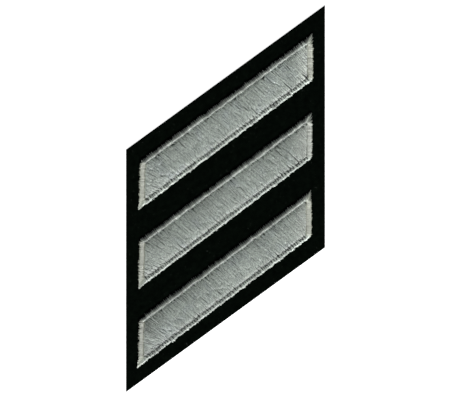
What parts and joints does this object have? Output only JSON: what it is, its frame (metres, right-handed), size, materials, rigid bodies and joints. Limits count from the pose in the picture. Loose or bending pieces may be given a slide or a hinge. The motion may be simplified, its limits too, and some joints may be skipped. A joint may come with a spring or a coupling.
{
  "type": "service stripe",
  "caption": "Slanted black felt sleeve badge with raised diagonal bars embroidered in grey thread, each inside a satin-stitched border.",
  "frame": {"origin": "middle of the felt's flat back, on the surface that it rests on", "axes": "+Z out of the stitched face, +Y up the sleeve along the felt's upright sides, +X across the sleeve to the right of the face"},
  "size_m": [0.0508, 0.0988, 0.0023],
  "materials": {
    "felt": "matte wool felt, cleanly cut",
    "field_thread": "long flat stitches in grey rayon thread with a soft sheen",
    "border_thread": "close satin stitches in pale grey rayon thread"
  },
  "bodies": {
    "root": {"felt_backing": "felt", "field_top": "field_thread", "field_middle": "field_thread", "field_bottom": "field_thread", "border_top": "border_thread", "border_middle": "border_thread", "border_bottom": "border_thread"}
  },
  "joints": []
}
